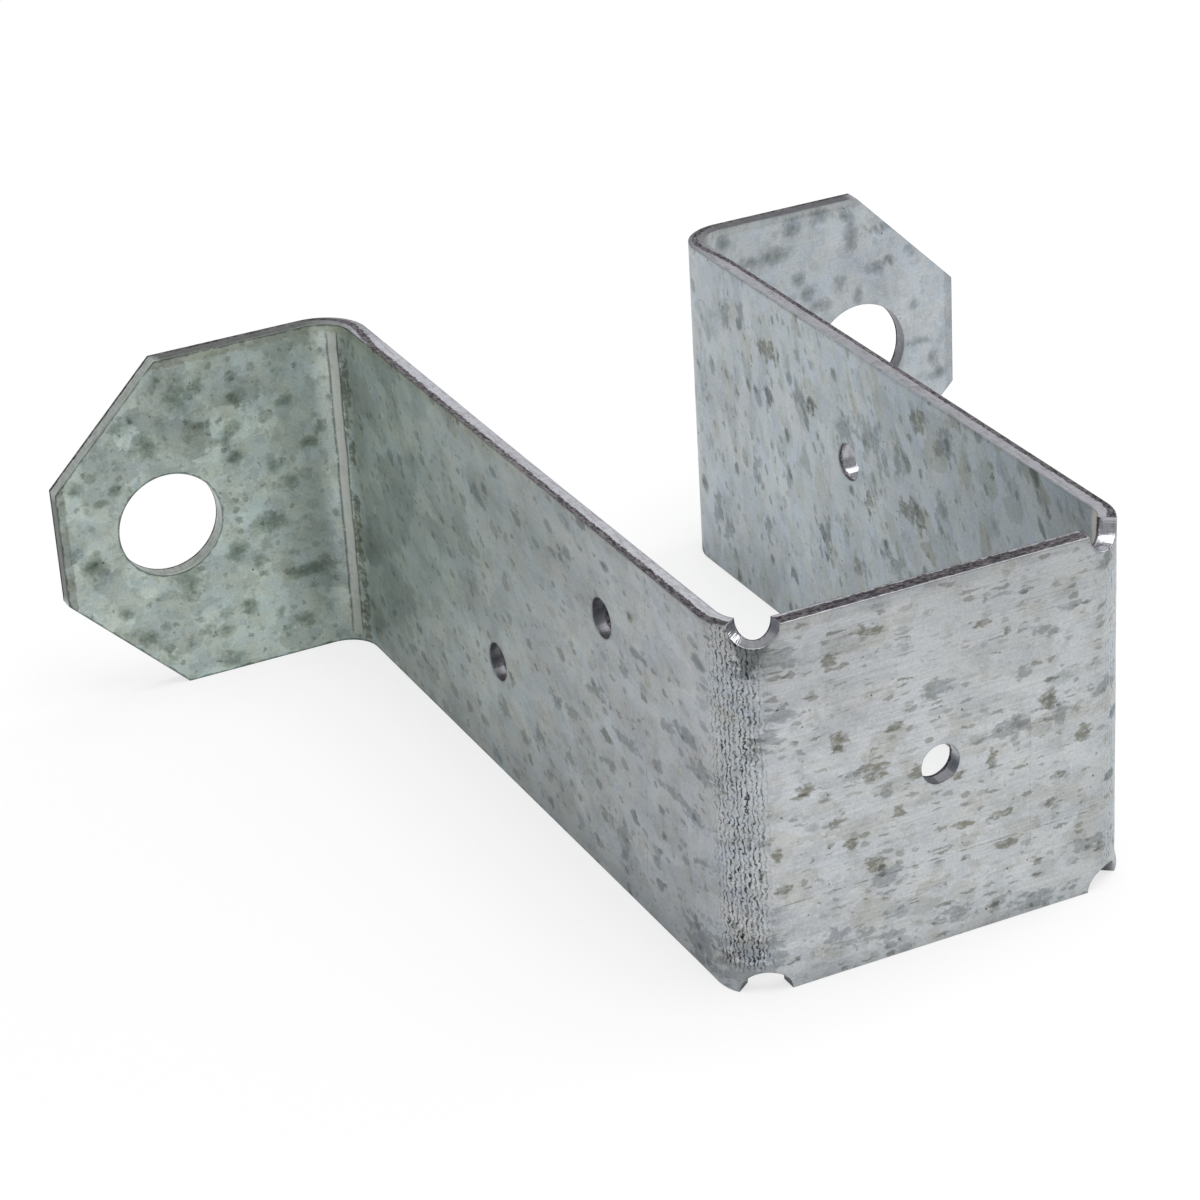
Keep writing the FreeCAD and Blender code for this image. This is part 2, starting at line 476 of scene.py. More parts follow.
def closed_sheet():
    """Points (u, v, w) and quads of the whole closed sheet: both faces and the walls of all cuts."""
    flat, quads = welded(flat_patches())
    count = len(flat)
    start, end = cut_edges(quads, count)
    rims = np.unique(start)
    shares = np.array([0.07, 0.18, 0.3, 0.42, 0.54, 0.66, 0.8, 0.92])
    wall = np.concatenate([np.column_stack([flat[rims], np.full(len(rims), w)]) for w in shares])
    faces = [np.column_stack([flat, np.full(count, w)]) for w in (0.0, 1.0)]
    points = np.concatenate([*faces, wall])
    place = np.zeros(count, int)
    place[rims] = np.arange(len(rims))
    levels = [np.arange(count)]
    levels += [2 * count + k * len(rims) + place for k in range(len(shares))]
    levels += [np.arange(count) + count]
    walls = [np.stack([a[start], b[start], b[end], a[end]], axis=-1) for a, b in zip(levels, levels[1:])]
    return points, np.concatenate([quads, quads[:, ::-1] + count, *walls])


# Stains that show most. Each is a place and the half sizes of an oval, in millimetres. On the web and on
# the flanges the places run from the tie's middle, and on the legs from the middle of its depth.

web_brown = [
    (-7.2, 20.4, 1.4, 0.9), (-14, 20.7, 0.9, 0.6), (-11, 16.1, 1, 0.4), (-4.7, 15.3, 0.7, 0.6),
    (-9.5, 13.5, 0.8, 0.5), (-7.3, 10.5, 1.2, 0.8), (-11.6, 32.9, 0.9, 0.7), (-7.2, 35, 1.5, 0.6),
    (5.6, 17.8, 0.5, 1.1), (15.6, 17.6, 0.9, 0.9), (11.9, 22.4, 1.1, 1.1), (4.7, 32.4, 1.1, 0.4),
    (7.3, 31, 0.5, 0.5), (-16.6, 10.7, 0.9, 0.5), (-17.2, 14.4, 0.4, 0.7), (-10.8, 24.5, 0.9, 0.9),
    (-5, 24.3, 1.1, 0.5), (2, 17.5, 0.7, 0.5), (-2.6, 18.9, 0.9, 0.7), (6.7, 11.8, 1.5, 0.4),
    (2.7, 11.9, 1.3, 0.4), (13, 14.2, 0.9, 0.5), (11.9, 11.4, 0.5, 0.5), (7.1, 8.4, 1.3, 0.5),
]
web_grey = [
    (-16.3, 28.9, 1.4, 0.8), (-0.2, 27.1, 1.8, 0.8), (-6, 8.8, 1.6, 1.2), (9.2, 26, 0.9, 0.5),
    (11.2, 29.9, 1.1, 0.7), (14.4, 31.6, 1.6, 0.4), (-11.7, 4, 1.1, 0.9), (-9, 3.2, 1.1, 0.9),
    (-6, 2.2, 1.2, 0.9), (1.5, 2.5, 1.7, 0.9), (6, 2.2, 0.9, 0.7), (10.4, 1.2, 2.8, 0.8),
    (-5.8, 18, 0.6, 0.6), (7.8, 20.7, 2.7, 0.9), (13, 20.7, 1.1, 1.1), (-16.4, 34.4, 1.5, 0.9),
    (-18.3, 35.4, 1.3, 1), (-18.8, 34.2, 0.8, 1.1), (-19.4, 4.4, 2.8, 1.5), (-20, 2.2, 3, 0.9),
    (-17.6, 26.5, 1.3, 0.7), (17.6, 22, 1.2, 0.8), (16.2, 5.5, 2, 0.8),
]
flange_spots = [
    (-40.6, 33.3, 1.4, 1.5), (-38.1, 34.3, 0.7, 0.9), (-34, 32, 1, 0.9), (-28.6, 30.2, 0.9, 0.6),
    (-44.7, 28.8, 1.4, 1.4), (-38.3, 29.9, 1.1, 0.5), (-34.6, 28.5, 0.9, 0.6), (-35.6, 27.1, 0.7, 0.9),
    (-34.8, 25.1, 0.9, 0.6), (-47.4, 31.5, 0.9, 0.7), (-42.9, 36, 0.5, 0.6), (-28.8, 20.8, 1, 1.1),
    (-30.5, 22.8, 0.8, 0.7), (-26.2, 24.7, 1.1, 0.7), (-24.4, 26.2, 0.7, 0.6), (-48.5, 24.5, 0.7, 0.7),
    (-52.9, 25.7, 0.9, 0.9), (-50.2, 23.4, 0.7, 0.4), (-51.8, 16.4, 1.1, 1.2), (-41.3, 12, 1.6, 1.4),
    (-35.6, 14, 1.2, 1.1), (-33.1, 12, 0.6, 0.9), (-31.9, 16.4, 1.9, 1), (-34.7, 7, 0.8, 1),
    (-31.3, 5.5, 0.6, 0.6), (-30.8, 3, 0.6, 0.6), (-28.6, 4.1, 1, 0.6), (-39.8, 5.6, 0.6, 0.6),
    (-37.8, 5, 0.8, 0.8), (-46.7, 6.4, 1, 1), (-44.4, 3.4, 0.9, 0.7), (-37.2, 1.2, 1, 0.7),
    (-48.9, 9.9, 1, 0.6), (-27.2, 9.6, 3, 0.8),
]
left_leg_grey = [
    (7.2, 30.7, 1, 0.8), (9.2, 31.4, 0.9, 0.9), (-12.7, 33.1, 1.1, 0.6), (-17.6, 20.3, 2.2, 0.5),
    (-11.4, 15, 1.4, 0.8), (-3.4, 8.8, 1.3, 0.9), (0.2, 6.9, 0.9, 0.8), (-24, 17.6, 2.2, 0.6),
    (-10.4, 9.5, 1, 0.7), (-19.4, 13.1, 1.1, 0.7), (-24, 25.4, 1.2, 0.7), (-32.6, 23.4, 0.9, 0.6),
    (-21.9, 6.4, 1.7, 1.1), (-15.7, 3, 1, 0.7), (-22, 3.8, 0.8, 0.9), (-29.1, 8, 0.8, 0.7),
    (-18, 6.6, 1.3, 0.7), (-5, 5.1, 0.9, 0.6), (3.4, 1.1, 0.9, 0.6), (8, 1.2, 1, 0.7),
    (-26.8, 28.3, 1.3, 0.5), (-7.7, 15.4, 1.1, 0.5), (5.1, 8, 0.9, 0.9), (-36.5, 24.2, 2.6, 0.7),
    (-39.3, 21.5, 2.2, 1), (-34.3, 16.6, 3.5, 0.5), (-37.3, 16.1, 2, 0.7), (-38.4, 11.7, 0.9, 0.6),
    (-37.5, 2.6, 3, 2.2),
]
right_leg_grey = [
    (32.8, 33.1, 0.9, 1.8), (29.4, 33.5, 0.9, 1.8), (23.3, 26.5, 0.8, 2), (13.9, 28.7, 0.9, 1),
    (16.7, 28.7, 1.2, 1.6), (1.5, 30, 2.4, 1.5), (6.8, 28.3, 1.6, 1.5), (-4.4, 29.4, 0.8, 1.8),
    (-1.3, 27.8, 0.8, 1.6), (36.5, 7.5, 0.9, 2.2), (34.1, 5.9, 0.8, 1.6), (24.5, 9.7, 0.8, 1.4),
    (11.1, 14.1, 0.7, 2.4), (19.6, 18.2, 0.8, 1.3), (26.9, 16.4, 0.8, 1.8), (-12.5, 26.5, 0.8, 2),
    (-13.5, 34.3, 1.6, 1.6), (-1.4, 17.8, 1, 1), (-3.9, 16.9, 1.4, 1), (4, 13.6, 1.4, 1.2),
]
right_leg_brown = [
    (23.4, 31.7, 2.2, 1.2), (-6.7, 24.2, 2.2, 1.4), (-8.8, 24.3, 1.2, 1.3), (-8.3, 35.1, 1.5, 1.2),
    (1.9, 22.2, 1, 1.4), (13.9, 28.7, 0.7, 0.9),
]
right_flange_grey = [
    (34.3, 36.3, 1.2, 1.1), (28.5, 33.3, 1.4, 0.6), (31.8, 33.4, 2, 1), (41.9, 33.6, 1, 1.6),
    (45.7, 33.9, 2.2, 0.6), (49.5, 30.2, 0.6, 0.6), (34.9, 29.9, 0.8, 0.9), (40.4, 28.3, 0.8, 0.7),
    (35.8, 27.9, 0.8, 0.9), (42.6, 26.2, 0.6, 1), (45.1, 29, 1.4, 0.8), (50.5, 18.6, 1.6, 0.5),
    (49.9, 23.4, 1, 0.6), (52.4, 16.3, 0.6, 0.8), (37.6, 26, 1.4, 0.8), (25.1, 36.4, 1, 1.1),
    (41, 36.5, 0.9, 0.8), (37.7, 37, 1.6, 0.8), (53.1, 14, 1.2, 0.8), (46.9, 29.6, 0.8, 0.6),
]

# Broad soft areas of the left flange, and how much lighter than the rest each one is
flange_areas = [
    (-31, 34, 7, 5, -0.15), (-42, 34, 6, 5, -0.05), (-36, 2, 9, 4, -0.13), (-45, 6, 6, 4, -0.05),
    (-50, 19, 4, 6, 0.03), (-31, 11, 4, 4, 0.09),
]

# From a place on a flange or on a leg to the place in the flat strip
to_flange = flange_start - rear_axis_x
to_leg = leg_start - front_axis_y

# Tone of the zinc at places along the strip: on the punched face, on the other face, and how green it is.
# Part of the tone is painted shade: the fall across the left rear fold, which hides that fold's own
# highlight, and the other face's dark inside of the right front fold, in the pocket's corner.
punched_tones = [
    (-strip_end, 0.98), (10 - strip_end, 1.06), (-flange_start - 6, 1.28), (-flange_start, 1.06),
    # Painted shade: the tone falls across the left rear fold, which hides the fold's own highlight
    (-leg_end - 3.5, 0.85), (-leg_end, 0.84), (-78, 0.79), (-60, 0.74), (-40, 0.765), (-leg_start, 0.80),
    (-20, 0.775), (-web_end, 0.945), (0, 0.97), (web_end, 0.93), (web_end + 1.2, 0.85), (leg_start, 0.80),
    (leg_start + 9, 0.92), (leg_end, 0.9), (flange_start, 0.80), (strip_end, 0.86),
]
other_tones = [
    # Painted shade: the other face darkens into the inside of the right front fold
    (-strip_end, 0.95), (-leg_start, 0.92), (-web_end, 0.9), (web_end, 0.71), (leg_start, 0.78),
    (33, 0.87), (55, 0.95), (80, 0.97), (95, 0.87), (leg_end, 0.87), (strip_end, 1),
]
greens = [
    (-flange_start, 1), (-leg_end, 0.9), (-60, 0.4), (-leg_start, 0), (leg_start, 0.15), (leg_end, 0.2),
    (strip_end, 0.1),
]


def stained(u, v, stains):
    """1 in the middle of a stain, a half on its oval outline and 0 at twice that distance."""
    field = np.zeros(np.shape(u))
    for across, height, half_length, half_height in stains:
        reach = np.hypot((u - across) / half_length, (v - height) / half_height)
        field = np.maximum(field, 1 - reach / 2)
    return field


def moved(stains, shift, side=1):
    """Stains with their places in the flat strip."""
    return [(side * (place + shift), *rest) for place, *rest in stains]


def placed_stains(u, v, w):
    """Brown and grey stains of the lists, each on its own face of the sheet. The grey also carries the
    painted shadow under the left upper notch.
    """
    outside, inside = w < 0.5, w > 0.5
    flanges = moved(flange_spots, -to_flange) + moved(right_flange_grey, to_flange)
    brown = stained(u, v, web_brown) * outside + stained(u, v, moved(right_leg_brown, to_leg)) * inside
    grey = stained(u, v, web_grey + flanges + moved(left_leg_grey, to_leg, -1)) * outside
    grey += stained(u, v, moved(right_leg_grey, to_leg)) * inside
    brown = np.maximum(brown, fold_stains(u, v) * outside)
    # The painted shadow under the left upper notch goes in with the grey stains
    return brown, np.maximum(grey, notch_shadow(u, v) * outside)


def notch_shadow(u, v):
    """Painted shadow: a dark three-cornered patch that hangs from the left upper notch, a half on its
    outline and 1 deep inside."""
    above = v - strip_height + notch_radius
    inside = np.minimum(u + 19.85 + 0.25 * above, -17.3 - u + 0.55 * above)
    return np.clip(0.5 + 2.0 * inside, 0, 1) * ease(v, 31.5, 33.5)


def fold_stains(u, v):
    """Olive stains on the leg side of the left rear fold's pressed line, broken up along it."""
    patches = ease(soft_noise(v * 0.3, u * 0.3, 22), 0.38, 0.66)
    return 0.75 * ease(np.abs(rear_fold_middle + u - 1.7), 1.2, 0.5) * patches


def broad_marks(u, v):
    """How light the left flange's broad soft areas are, and 1 beside them."""
    share = np.ones(np.shape(u))
    for across, height, half_length, half_height, change in flange_areas:
        reach = np.hypot((u - across + to_flange) / half_length, (v - height) / half_height)
        share = share + change * ease(reach, 1.4, 0.2)
    return share


def tones(u, v, w):
    """Zinc's tone along the strip, partly its own and partly painted shade, and how green it has weathered,
    on the two faces.

    The left leg's outside and the left flange are darker than the rest, and weathered greener. The left
    rear fold and the inside of the right front fold carry painted shade, and the place under the left upper
    notch a painted shadow.
    """
    on_web = ease(np.abs(u), leg_start, web_end)
    on_web_tone = 1 - 0.13 * ease(v, 22, strip_height) * on_web + 0.04 * ease(v, 14, 4) * on_web
    # Painted shadow under the left upper notch
    shadow = 1 - 0.32 * ease(notch_shadow(u, v), 0.4, 0.8)
    punched = np.interp(u, *zip(*punched_tones)) * on_web_tone * broad_marks(u, v) * shadow
    return punched * (1 - w) + np.interp(u, *zip(*other_tones)) * w, np.interp(u, *zip(*greens))


def polish(u, v):
    """How smooth the sheared part of a cut's wall is: most in the notches and in the nail holes, but less
    in the left leg's."""
    to_round = np.minimum(to_notch(u, v), to_rims(u, v, nail_holes, nail_hole_radius))
    smoothest = np.where(u < -leg_start, 0.4, 1.0)
    return np.maximum(along_strip(u, 0.0, 0.2, 0.4, 0.1, 0.0), smoothest * ease(to_round, 0.06, 0.02))


def grain_places(u, v):
    """Places for the marks' pattern.

    It is stretched along the strip on the web and on the left leg. On the right leg it is stretched
    upwards. On both legs it leans back as it rises.
    """
    step = 0.5
    line = np.arange(0, strip_end + 1, step)
    travelled = []
    for rate in (along_strip(line, 0.6, 0.7, 0.72, 0.9, 0.95), along_strip(line, 0.6, 0.8, 1.0, 1.0, 0.95)):
        travelled.append(np.interp(np.abs(u), line, (np.cumsum(rate) - rate[0]) * step))
    along = np.where(u < 0, travelled[0], travelled[1])
    flats = [web_end + 1.5, leg_start + 12, leg_end, flange_start]
    rise = v - middle
    lean = along_strip(u, 0, 0.1, 0.3, 0.15, 0)
    up = rise * by_side(u, flats, [1.2, 1.0, 1.0, 1.0], [1.2, 0.68, 0.66, 0.8])
    return np.copysign(1, u) * (along - lean * rise), up


# Three numbers under each name, which the mesh carries on its vertices for the material to read
fields = {
    "strip": ("across", "height", "through"),
    "grain": ("grain_along", "grain_up", "pale"),
    "marks": ("room", "brown", "grey"),
    "weather": ("tone", "green", "cracked"),
    "wall": ("torn_from", "torn_to", "bright"),
    "zone": ("web", "groove", "lip"),
    "border": ("border", "border_strength", "rubbed"),
    "finish": ("polish", "uneven", "patched"),
}


def surface_numbers(u, v, w):
    """The numbers of the fields, three by three, for each point of the closed sheet."""
    near_face = 1 - w
    fold = np.abs(u) - web_end
    cracked = ease(fold, 0.8, 2.8) * ease(fold, fold_length - 0.2, fold_length - 2.4) * ease(v, 1.8, 3.4)
    outer_patches = along_strip(u, 0.4, 0.3, 0.25, 0.3, 0.4) * np.where(u < flange_start, 1, 0.3)
    inner_patches = np.interp(u, [web_end, leg_start, 45, 75, leg_end], [0.6, 0.9, 0.8, 0.5, 0.4])
    uneven = along_strip(u, 0.0, 0.3, 0.3, 0.8, 1.0) * np.where(u < 0, 1.0, 0.35)
    along, up = grain_places(u, v)
    groove, lip = pressed_line(u, v)
    border, strength = border_marks(u, v)
    return [
        (u, v, w),
        (along + 300 * w, up, along_strip(u, 0.0, 0.2, 1.0, 0.6, 0.0)),
        (np.clip(room_to_cut(u, v), 0, 8), *placed_stains(u, v, w)),
        (*tones(u, v, w), cracked * np.where(u < 0, 1, 0.5) * near_face),
        wall_marks(u, v),
        (ease(fold, 3.0, 0.0) * near_face, groove * near_face, lip * near_face),
        (border, strength * near_face, squeezed(u, v) * w),
        (polish(u, v), uneven, np.where(w < 0.5, outer_patches, inner_patches)),
    ]


def placed(name, data):
    """A new object in the scene."""
    made = bpy.data.objects.new(name, data)
    bpy.context.scene.collection.objects.link(made)
    return made


def post_tie():
    """The whole tie as one mesh, with the fields on its vertices."""
    points, quads = closed_sheet()
    mesh = bpy.data.meshes.new("folded_sheet")
    mesh.from_pydata((shaped(*points.T) * METRE).tolist(), [], quads.tolist())
    mesh.update()
    mesh.polygons.foreach_set("use_smooth", np.ones(len(quads), bool))
    for name, numbers in zip(fields, surface_numbers(*points.T)):
        attribute = mesh.attributes.new(name, "FLOAT_VECTOR", "POINT")
        attribute.data.foreach_set("vector", np.column_stack(numbers).astype(np.float32).ravel())
    return placed("folded_sheet", mesh)


# Material

# Thin scratches: one along the web at this height, and one up it and one up the left leg at these places
web_scratch_height = 9.1
web_scratch_place = 9.7
leg_scratch_place = -37.0


class Paint:
    """Adds nodes to one material. Each call returns the socket that carries its result."""

    def __init__(self, name):
        self.material = bpy.data.materials.new(name)
        self.material.use_nodes = True
        self.tree = self.material.node_tree
        self.shader = self.tree.nodes["Principled BSDF"]

    def give(self, socket, value):
        if isinstance(value, bpy.types.NodeSocket):
            self.tree.links.new(value, socket)
        else:
            socket.default_value = value

    def node(self, kind, inputs, **settings):
        made = self.tree.nodes.new(kind)
        for name, value in settings.items():
            setattr(made, name, value)
        for key, value in inputs.items():
            self.give(made.inputs[key], value)
        return made

    def math(self, operation, a, b=0.0, c=0.0):
        return self.node("ShaderNodeMath", {0: a, 1: b, 2: c}, operation=operation).outputs[0]

    def line(self, value, slope, start):
        """The value times the slope, and the start added."""
        return self.math("MULTIPLY_ADD", value, slope, start)

    def less(self, a, b):
        return self.math("SUBTRACT", a, b)

    def times(self, *values):
        """The product of all the values."""
        product = values[0]
        for value in values[1:]:
            product = self.math("MULTIPLY", product, value)
        return product

    def parts(self, vector):
        """The three numbers of a vector or colour."""
        return tuple(self.node("ShaderNodeSeparateXYZ", {0: vector}).outputs)

    def scaled(self, place, by, shift=(0, 0, 0)):
        """Places multiplied by one number for each axis, and then shifted."""
        inputs = {0: place, 1: by, 2: shift}
        return self.node("ShaderNodeVectorMath", inputs, operation="MULTIPLY_ADD").outputs[0]

    def noise(self, place, scale, detail=2.0, roughness=0.5, colour=False, dimensions="2D"):
        inputs = {"Vector": place, "Scale": scale, "Detail": detail, "Roughness": roughness}
        made = self.node("ShaderNodeTexNoise", inputs, noise_dimensions=dimensions)
        return made.outputs["Color" if colour else "Fac"]

    def stretched(self, place, by, shift, detail, roughness, dimensions="2D"):
        """Noise with one scale for each axis."""
        return self.noise(self.scaled(place, by, shift), 1.0, detail, roughness, dimensions=dimensions)

    def cells(self, place, scale, feature="F1"):
        """Flat cells, each with its own colour, and the distance to the middle of the cell."""
        inputs = {"Vector": place, "Scale": scale}
        return self.node("ShaderNodeTexVoronoi", inputs, voronoi_dimensions="2D", feature=feature)

    def step(self, value, start, end, low=0.0, high=1.0):
        """A smooth step from low to high while the value goes from start to end."""
        inputs = {"Value": value, "From Min": start, "From Max": end, "To Min": low, "To Max": high}
        return self.node("ShaderNodeMapRange", inputs, interpolation_type="SMOOTHSTEP").outputs["Result"]

    def tinted(self, colour, *layers):
        """The colour multiplied by one colour after another, each as far as its share says."""
        for share, by in layers:
            inputs = {0: share, 6: colour, 7: (*by, 1)}
            made = self.node("ShaderNodeMix", inputs, data_type="RGBA", blend_type="MULTIPLY")
            colour = made.outputs[2]
        return colour

    def blend(self, share, first, second):
        made = self.node("ShaderNodeMix", {0: share, 6: first, 7: second}, data_type="RGBA")
        return made.outputs[2]

    def dimmed(self, colour, factor):
        """The colour multiplied by one number."""
        inputs = {0: colour, "Scale": factor}
        return self.node("ShaderNodeVectorMath", inputs, operation="SCALE").outputs[0]


def jogged(paint, place, scale, reach):
    """Places pushed about by noise, which gives a pattern ragged outlines."""
    push = paint.noise(place, scale, 3.0, 0.6, colour=True)
    push = paint.scaled(push, (reach,) * 3, (-reach / 2,) * 3)
    return paint.node("ShaderNodeVectorMath", {0: place, 1: push}, operation="ADD").outputs[0]


def spots(paint, place, scale, share, largest, soft):
    """Soft round spots, at most one in each cell. The cell's own numbers choose its size and its strength.

    The share of the cells that have one, the largest radius and the soft rim are in cell widths.
    """
    cell = paint.cells(place, scale)
    chance, strength, _ = paint.parts(cell.outputs["Color"])
    growth = largest / share
    depth = paint.less(paint.line(chance, growth, largest - growth), cell.outputs["Distance"])
    return paint.times(paint.step(depth, 0.0, soft), paint.step(strength, -0.2, 1.2, 0.2, 1.0))


def surface(paint):
    """Every number of the fields as a socket, under its own name."""
    here = SimpleNamespace()
    for name, parts in fields.items():
        vector = paint.node("ShaderNodeAttribute", {}, attribute_name=name).outputs["Vector"]
        setattr(here, name + "_field", vector)
        for part, socket in zip(parts, paint.parts(vector)):
            setattr(here, part, socket)
    return here


def zinc_marks(paint, here):
    """The marks that lie all over the zinc, from its crystals down to scratches and grit."""
    strip, grain = here.strip_field, here.grain_field
    crystal = paint.cells(jogged(paint, grain, 0.6, 2.6), 0.27, "SMOOTH_F1")
    paint.give(crystal.inputs["Smoothness"], 0.12)
    ragged = jogged(paint, grain, 1.5, 0.9)
    shard = paint.cells(paint.scaled(ragged, (1, 1, 0), (80, 40, 0)), 0.48)
    shard_tone, shard_hue, _ = paint.parts(shard.outputs["Color"])
    pit = paint.cells(strip, 0.42)
    pit_size = paint.step(paint.parts(pit.outputs["Color"])[0], 0.6, 1.2, 0.0, 0.08)
    return dict(
        crystals=paint.parts(crystal.outputs["Color"])[0],
        shards=paint.step(shard_tone, 0.70, 0.86),
        olive_shards=paint.step(shard_hue, 0.82, 0.90),
        clouds=paint.noise(grain, 0.14, 3.0, 0.6),
        warm=paint.stretched(grain, (0.3, 0.3, 0), (4, 9, 0), 3.0, 0.65),
        drops=spots(paint, ragged, 0.36, 0.72, 0.34, 0.14),
        flecks=spots(paint, paint.scaled(ragged, (1, 1, 0), (50, 20, 0)), 0.85, 0.55, 0.40, 0.12),
        dashes=spots(paint, paint.scaled(ragged, (0.7, 2.0, 0), (20, 60, 0)), 0.75, 0.42, 0.40, 0.12),
        smears=paint.stretched(grain, (0.42, 0.42, 0), (5, 90, 0), 4.0, 0.66),
        streaks=paint.stretched(grain, (0.6, 0.33, 0), (9, 3, 0), 4.0, 0.68),
        grit=paint.noise(strip, 3.4, 3.0, 0.65),
        lines=paint.stretched(strip, (0.07, 5.2, 0), (0, 0, 0), 3.0, 0.7),
        pits=paint.step(paint.less(pit_size, pit.outputs["Distance"]), 0.0, 0.02),
        fray=paint.noise(grain, 1.0, 3.0, 0.6),
    )


def crazing(paint, here):
    """Fine upright folds of the cracked zinc: their height, their sides in painted light and painted shade,
    and open cracks.

    The height is a sine across the fold, 0.4 millimetres from crest to crest. Noise shifts it by more
    than a period, so that the crests wander, split and join. The sides are where the sine is steepest:
    one side gets painted light and the other painted shade, as if lit from one side. Cracks open along
    some of the shaded sides, and along most of them low down; their dark is partly the open gap and
    partly painted shade.
    """
    strip = here.strip_field
    wander = paint.stretched(strip, (1.4, 1.35, 0), (0, 0, 0), 3.0, 0.68)
    phase = paint.line(wander, 15.0, paint.times(here.across, 16.0))
    slope = paint.math("COSINE", phase)
    uneven = paint.stretched(strip, (3.0, 1.7, 0), (30, 0, 0), 2.0, 0.5)
    strength = paint.times(paint.step(uneven, 0.36, 0.54), here.cracked)
    torn = paint.stretched(strip, (2.4, 0.75, 0), (11, 5, 0), 2.0, 0.5)
    torn = paint.math("ADD", torn, paint.step(here.height, 7.0, 4.0, 0.0, 0.14))
    torn = paint.step(paint.line(here.cracked, 0.10, torn), 0.60, 0.69)
    return dict(
        ridges=paint.line(paint.math("SINE", phase), 0.5, 0.5),
        # Painted light and painted shade on the two sides of each ridge
        light=paint.times(paint.step(slope, -0.25, -0.95), strength),
        dark=paint.times(paint.step(slope, 0.0, 0.9), strength),
        # Dark cracks on the shaded sides: partly the open gap, partly painted shade
        crack=paint.times(torn, paint.step(slope, 0.35, 0.85), here.cracked),
    )


def thin_line(paint, place, at, fray):
    """1 on a thin line where a place has one value; noise makes it waver and vary in width."""
    off = paint.math("ABSOLUTE", paint.less(place, at))
    return paint.step(paint.line(fray, 0.25, off), 0.22, 0.10)


def bare_zinc(paint, here):
    """Tone and hue of the zinc before its marks: clouds, crystals, grit and drawn lines."""
    shade = paint.line(paint.less(here.clouds, 0.5), paint.line(here.uneven, 0.35, 0.25), 0.78)
    shade = paint.line(paint.less(here.crystals, 0.5), paint.line(here.uneven, 0.28, 0.12), shade)
    shade = paint.line(here.grit, 0.40, shade)
    shade = paint.line(paint.less(here.lines, 0.5), paint.line(here.web, 0.24, 0.16), shade)
    warm = paint.less(paint.step(here.warm, 0.34, 0.66), 0.5)
    warm = paint.line(warm, paint.line(here.web, -0.6, 1.05), 0.5)
    zinc = paint.blend(warm, (0.534, 0.572, 0.624, 1), (0.566, 0.580, 0.592, 1))
    return paint.tinted(
        paint.dimmed(zinc, shade),
        (here.green, (0.895, 0.97, 0.865)),
        (here.through, (0.975, 1.0, 1.02)),
        (here.web, (1.0, 0.985, 0.965)),
    )


def with_marks(paint, zinc, here):
    """Angular patches, smears, streaks and spots, fewer of them on the right flange."""
    smear = paint.times(paint.step(here.smears, 0.535, 0.585), paint.line(here.uneven, 0.6, 0.45))
    streak = paint.times(paint.step(here.streaks, 0.55, 0.66), paint.line(here.patched, 0.5, 0.25))
    calm = paint.step(here.across, flange_start - 4, flange_start, 1.0, 0.25)
    drop_share = paint.times(paint.line(here.web, -0.55, 1.0), paint.line(here.green, -0.4, 1.0), calm)
    return paint.tinted(
        zinc,
        (paint.times(here.shards, here.patched), (0.80, 0.81, 0.81)),
        (paint.times(here.olive_shards, here.patched), (0.80, 0.78, 0.69)),
        (smear, (0.845, 0.86, 0.87)),
        (streak, (0.76, 0.74, 0.67)),
        (paint.less(1.0, calm), (0.975, 1.0, 1.02)),
        (paint.times(here.drops, drop_share), (0.48, 0.51, 0.49)),
        (paint.times(here.flecks, calm, 0.9), (0.54, 0.54, 0.50)),
        (paint.times(here.dashes, here.web), (0.52, 0.52, 0.47)),
    )


def with_stains(paint, zinc, here):
    """The placed stains: noise frays their outlines and streaks their insides. They are softer, with dark
    cores, on the flanges. The grey ones carry the painted shadow under the left upper notch too."""
    inside = paint.stretched(here.strip_field, (1.1, 1.9, 0), (7, 5, 0), 3.0, 0.7)
    blurred = paint.math("MAXIMUM", here.green, paint.step(here.across, flange_start - 4, flange_start))
    wobbled = paint.line(paint.less(here.fray, 0.5), paint.line(blurred, -1.1, 1.9), here.grey)
    grey = paint.step(wobbled, paint.line(blurred, -0.12, 0.34), paint.line(blurred, 0.08, 0.64))
    brown = paint.step(paint.line(here.fray, 1.5, here.brown), 1.12, 1.42)
    return paint.tinted(
        zinc,
        (paint.times(grey, paint.step(inside, 0.30, 0.52, 0.7, 1.0)), (0.64, 0.655, 0.665)),
        (paint.times(grey, here.green), (0.90, 0.92, 0.85)),
        (paint.times(paint.step(wobbled, 0.66, 0.96), blurred), (0.72, 0.74, 0.71)),
        (paint.times(brown, paint.step(inside, 0.34, 0.56, 0.55, 1.0)), (0.47, 0.455, 0.39)),
    )


def with_lines(paint, zinc, here):
    """Thin lines: scratches along and up the web, and one that leans up the left leg. Then the pits."""
    along_web = thin_line(paint, here.height, web_scratch_height, here.fray)
    up_web = thin_line(paint, here.across, web_scratch_place, here.fray)
    leaning = paint.line(here.height, -0.085, here.across)
    up_leg = thin_line(paint, leaning, leg_scratch_place, here.fray)
    within = paint.times(paint.step(here.height, 6.0, 8.0), paint.step(here.height, 25.0, 23.0), here.web)
    return paint.tinted(
        zinc,
        (paint.times(along_web, paint.step(here.streaks, 0.42, 0.50), here.web), (0.45, 0.45, 0.44)),
        (paint.times(up_web, within), (0.80, 0.80, 0.80)),
        (paint.times(up_leg, paint.less(1.0, here.through)), (0.72, 0.72, 0.72)),
        (here.pits, (0.28, 0.28, 0.28)),
    )


